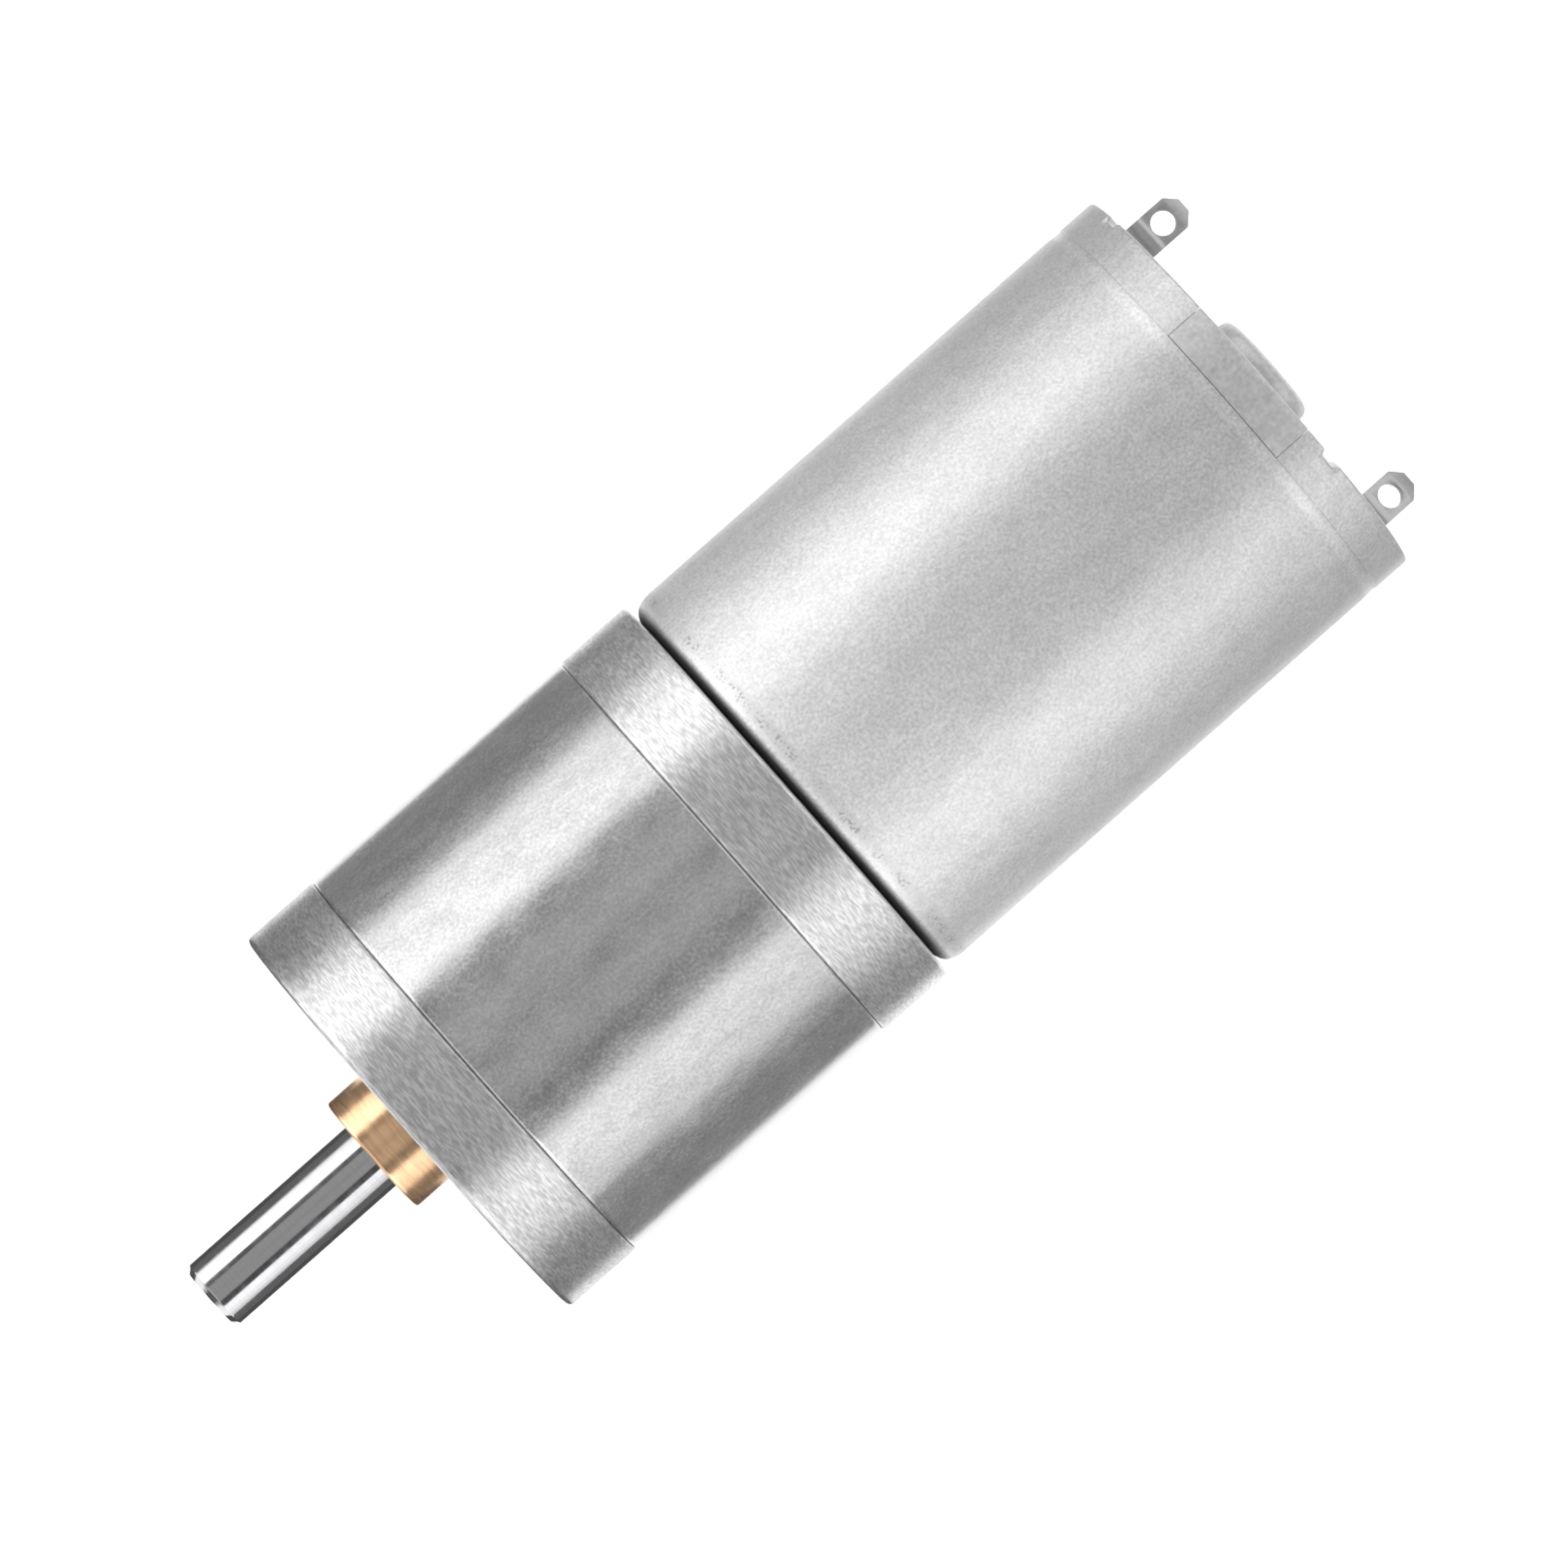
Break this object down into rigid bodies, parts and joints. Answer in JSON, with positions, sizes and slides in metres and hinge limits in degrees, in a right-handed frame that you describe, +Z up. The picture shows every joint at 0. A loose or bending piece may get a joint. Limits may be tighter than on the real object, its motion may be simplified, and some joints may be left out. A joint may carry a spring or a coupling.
{
  "type": "gearmotor",
  "caption": "Round spur gearmotor: a brushed motor can behind a ground steel gearbox, with a D-cut output shaft in a brass boss and flat solder terminals at the rear.",
  "frame": {"origin": "centre of the gearbox's front mounting face, on the output shaft's axis", "axes": "+X along the output shaft, away from the motor; the gearmotor lies on its side with +Z up; the two terminals stand at either side along Y"},
  "size_m": [0.0744, 0.025, 0.025],
  "materials": {
    "turned_steel": "satin, with fine turning marks round the axis",
    "tube_steel": "smooth drawn tube, fine grain along the axis, soft gloss",
    "can_steel": "matt nickel-plated deep-drawn steel",
    "cap_steel": "satin stamped steel",
    "bush_brass": "turned and bright",
    "polished_steel": "ground and polished steel",
    "terminal_tin": "tinned, dull",
    "fastener_steel": "zinc plated",
    "arbor_steel": "ground bright",
    "gear_steel": "sintered, slightly oily",
    "gear_brass": "hobbed",
    "ferrite": "matt dark grey ferrite",
    "bearing_bronze": "oil-filled sintered bronze",
    "holder_plastic": "moulded, black",
    "core_steel": "stacked electrical steel",
    "insulator_fibre": "vulcanised fibre",
    "copper_wire": "enamelled copper",
    "contact_copper": "bright copper",
    "brush_carbon": "carbon, matt",
    "varistor_ceramic": "dark green-grey, matt"
  },
  "bodies": {
    "housing": {"front_plate": "turned_steel", "gearbox_tube": "tube_steel", "rear_plate": "turned_steel", "motor_screws": "fastener_steel", "output_bush": "bush_brass", "output_washer": "arbor_steel", "arbor_pin_a": "arbor_steel", "arbor_pin_b": "arbor_steel", "arbor_collar_a": "arbor_steel", "arbor_collar_b": "arbor_steel", "arbor_washers": "arbor_steel", "motor_can": "can_steel", "magnet_top": "ferrite", "magnet_bottom": "ferrite", "magnet_clip": "arbor_steel", "front_bearing": "bearing_bronze", "rear_bearing": "bearing_bronze", "end_cap": "cap_steel", "brush_holder": "holder_plastic", "terminal_left": "terminal_tin", "terminal_right": "terminal_tin", "brush_left": "brush_carbon", "brush_right": "brush_carbon", "brush_arm_left": "contact_copper", "brush_arm_right": "contact_copper"},
    "rotor": {"motor_shaft": "arbor_steel", "motor_pinion": "gear_brass", "rotor_core": "core_steel", "slot_insulators": "insulator_fibre", "rotor_windings": "copper_wire", "commutator_hub": "holder_plastic", "commutator_segments": "contact_copper", "varistor_ring": "varistor_ceramic", "rotor_washers": "arbor_steel"},
    "first_cluster": {"first_wheel": "gear_brass", "first_pinion": "gear_steel"},
    "second_cluster": {"second_wheel": "gear_brass", "second_pinion": "gear_steel"},
    "third_cluster": {"third_wheel": "gear_steel", "third_pinion": "gear_steel"},
    "fourth_cluster": {"fourth_wheel": "gear_steel", "fourth_pinion": "gear_steel"},
    "output": {"output_shaft": "polished_steel", "output_gear": "gear_steel"}
  },
  "joints": [
    {"name": "rotor_spin", "type": "hinge", "parent": "housing", "child": "rotor", "pos_m": [0, 0, 0], "axis": [1, 0, 0], "continuous": true},
    {"name": "first_cluster_spin", "type": "hinge", "parent": "housing", "child": "first_cluster", "pos_m": [0, 0.0031, 0.00537], "axis": [1, 0, 0], "continuous": true},
    {"name": "second_cluster_spin", "type": "hinge", "parent": "housing", "child": "second_cluster", "pos_m": [0, -0.0031, 0.00537], "axis": [1, 0, 0], "continuous": true},
    {"name": "third_cluster_spin", "type": "hinge", "parent": "housing", "child": "third_cluster", "pos_m": [0, 0.0031, 0.00537], "axis": [1, 0, 0], "continuous": true},
    {"name": "fourth_cluster_spin", "type": "hinge", "parent": "housing", "child": "fourth_cluster", "pos_m": [0, -0.0031, 0.00537], "axis": [1, 0, 0], "continuous": true},
    {"name": "output_spin", "type": "hinge", "parent": "housing", "child": "output", "pos_m": [0, 0, 0], "axis": [1, 0, 0], "continuous": true}
  ],
  "couplings": [
    {"joint": "rotor_spin", "follows": "output_spin", "ratio": -196.42},
    {"joint": "first_cluster_spin", "follows": "output_spin", "ratio": 68.321},
    {"joint": "second_cluster_spin", "follows": "output_spin", "ratio": -23.764},
    {"joint": "third_cluster_spin", "follows": "output_spin", "ratio": 8.2656},
    {"joint": "fourth_cluster_spin", "follows": "output_spin", "ratio": -2.875}
  ]
}
